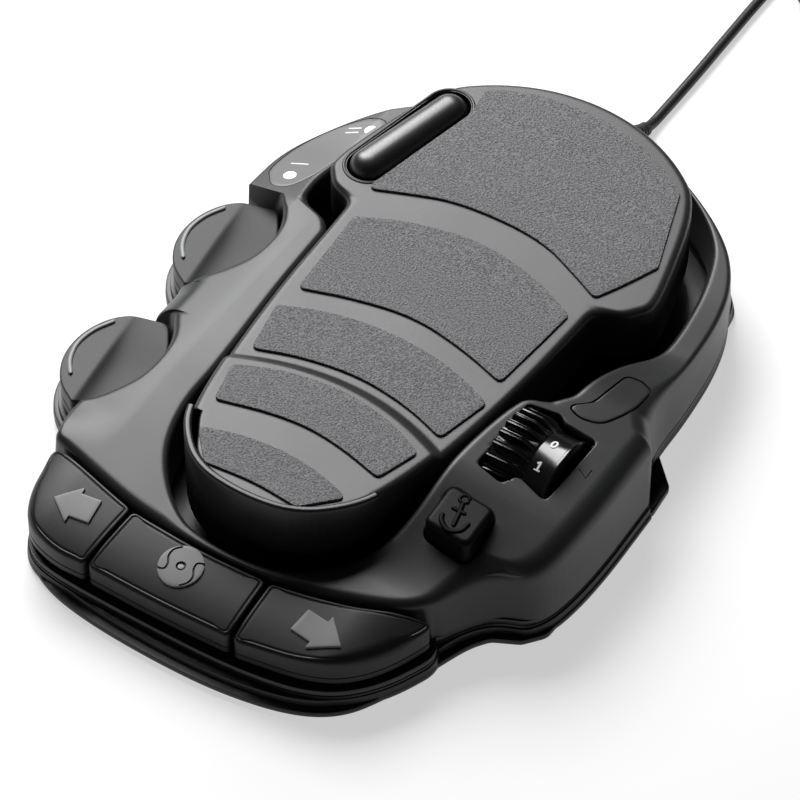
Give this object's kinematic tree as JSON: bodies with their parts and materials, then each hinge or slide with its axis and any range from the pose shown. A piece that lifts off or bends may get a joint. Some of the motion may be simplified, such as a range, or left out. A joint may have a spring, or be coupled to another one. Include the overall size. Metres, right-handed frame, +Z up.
{
  "type": "trolling motor foot pedal",
  "caption": "Corded foot control: rocking treadle with ribbed pads in a low moulded housing, with push buttons, a speed dial and a coiled cord with a plug.",
  "frame": {"origin": "centre of the base at the floor, cord left out", "axes": "+Y from the heel to the toe and the cord outlet, +X to the dial side, +Z up"},
  "size_m": [0.2776, 0.6885, 0.0625],
  "materials": {
    "shell_plastic": "fine matte grain",
    "tray_plastic": "matte",
    "cup_plastic": "satin",
    "foot_rubber": "matte",
    "pad_rubber": "coarse matte grain",
    "steel": "plain",
    "black_gloss": "gloss",
    "button_plastic": "satin",
    "disc_plastic": "satin",
    "button_rubber": "satin",
    "label_film": "satin",
    "light_pipe": "clear white",
    "board": "solder mask",
    "switch_plastic": "plain",
    "gland_rubber": "matte",
    "cord_jacket": "satin",
    "plug_shell": "satin",
    "contact_brass": "plain"
  },
  "bodies": {
    "base": {"base_tray": "tray_plastic", "deck_housing": "shell_plastic", "rubber_foot_1": "foot_rubber", "rubber_foot_2": "foot_rubber", "rubber_foot_3": "foot_rubber", "rubber_foot_4": "foot_rubber", "case_screw_1": "steel", "case_screw_2": "steel", "case_screw_3": "steel", "case_screw_4": "steel", "pivot_pin": "steel", "return_spring_heel": "steel", "return_spring_toe": "steel", "dial_sensor": "board", "blank_cover": "shell_plastic", "indicator_label": "label_film", "light_pipe_1": "light_pipe", "light_pipe_2": "light_pipe", "front_board": "board", "side_board": "board", "left_switch": "switch_plastic", "centre_switch": "switch_plastic", "right_switch": "switch_plastic", "rear_disc_switch": "switch_plastic", "front_disc_switch": "switch_plastic", "anchor_switch": "switch_plastic", "angle_sensor": "board", "cord_gland": "gland_rubber", "cord_free": "cord_jacket", "cord_coil": "cord_jacket", "cord_plug": "plug_shell", "plug_insert": "contact_brass"},
    "treadle": {"treadle_plate": "shell_plastic", "heel_cup": "cup_plastic", "tread_pad_1": "pad_rubber", "tread_pad_2": "pad_rubber", "tread_pad_3": "pad_rubber", "tread_pad_4": "pad_rubber", "tread_pad_5": "pad_rubber", "bar_switch": "switch_plastic", "sensor_magnet": "steel"},
    "bar": {"bar_button": "black_gloss"},
    "left": {"left_button": "button_plastic"},
    "centre": {"centre_button": "button_plastic"},
    "right": {"right_button": "button_plastic"},
    "rear_disc": {"rear_disc_button": "disc_plastic"},
    "front_disc": {"front_disc_button": "disc_plastic"},
    "anchor": {"anchor_button": "button_rubber"},
    "dial": {"speed_wheel": "black_gloss", "number_drum": "black_gloss", "dial_shaft": "steel"}
  },
  "joints": [
    {"name": "treadle_rock", "type": "hinge", "parent": "base", "child": "treadle", "pos_m": [0.0024, 0.00985, 0.024], "axis": [1, 0, 0], "range_deg": [-5, 5], "stiffness_Nm_per_rad": 20, "deforming": ["return_spring_heel", "return_spring_toe"]},
    {"name": "bar_press", "type": "slide", "parent": "treadle", "child": "bar", "axis": [0, 0, -1], "range_m": [0, 0.0025], "stiffness_N_per_m": 700, "springref_m": -0.0008},
    {"name": "left_press", "type": "slide", "parent": "base", "child": "left", "axis": [0, 0, -1], "range_m": [0, 0.0025], "stiffness_N_per_m": 700, "springref_m": -0.0008},
    {"name": "centre_press", "type": "slide", "parent": "base", "child": "centre", "axis": [0, 0, -1], "range_m": [0, 0.0025], "stiffness_N_per_m": 700, "springref_m": -0.0008},
    {"name": "right_press", "type": "slide", "parent": "base", "child": "right", "axis": [0, 0, -1], "range_m": [0, 0.0025], "stiffness_N_per_m": 700, "springref_m": -0.0008},
    {"name": "rear_disc_press", "type": "slide", "parent": "base", "child": "rear_disc", "axis": [0, 0, -1], "range_m": [0, 0.0025], "stiffness_N_per_m": 700, "springref_m": -0.0008},
    {"name": "front_disc_press", "type": "slide", "parent": "base", "child": "front_disc", "axis": [0, 0, -1], "range_m": [0, 0.0025], "stiffness_N_per_m": 700, "springref_m": -0.0008},
    {"name": "anchor_press", "type": "slide", "parent": "base", "child": "anchor", "axis": [0, 0, -1], "range_m": [0, 0.0025], "stiffness_N_per_m": 700, "springref_m": -0.0008},
    {"name": "speed_dial", "type": "hinge", "parent": "base", "child": "dial", "pos_m": [0.0924, -0.03365, 0.035], "axis": [1, 0, 0], "range_deg": [-20, 280]}
  ]
}
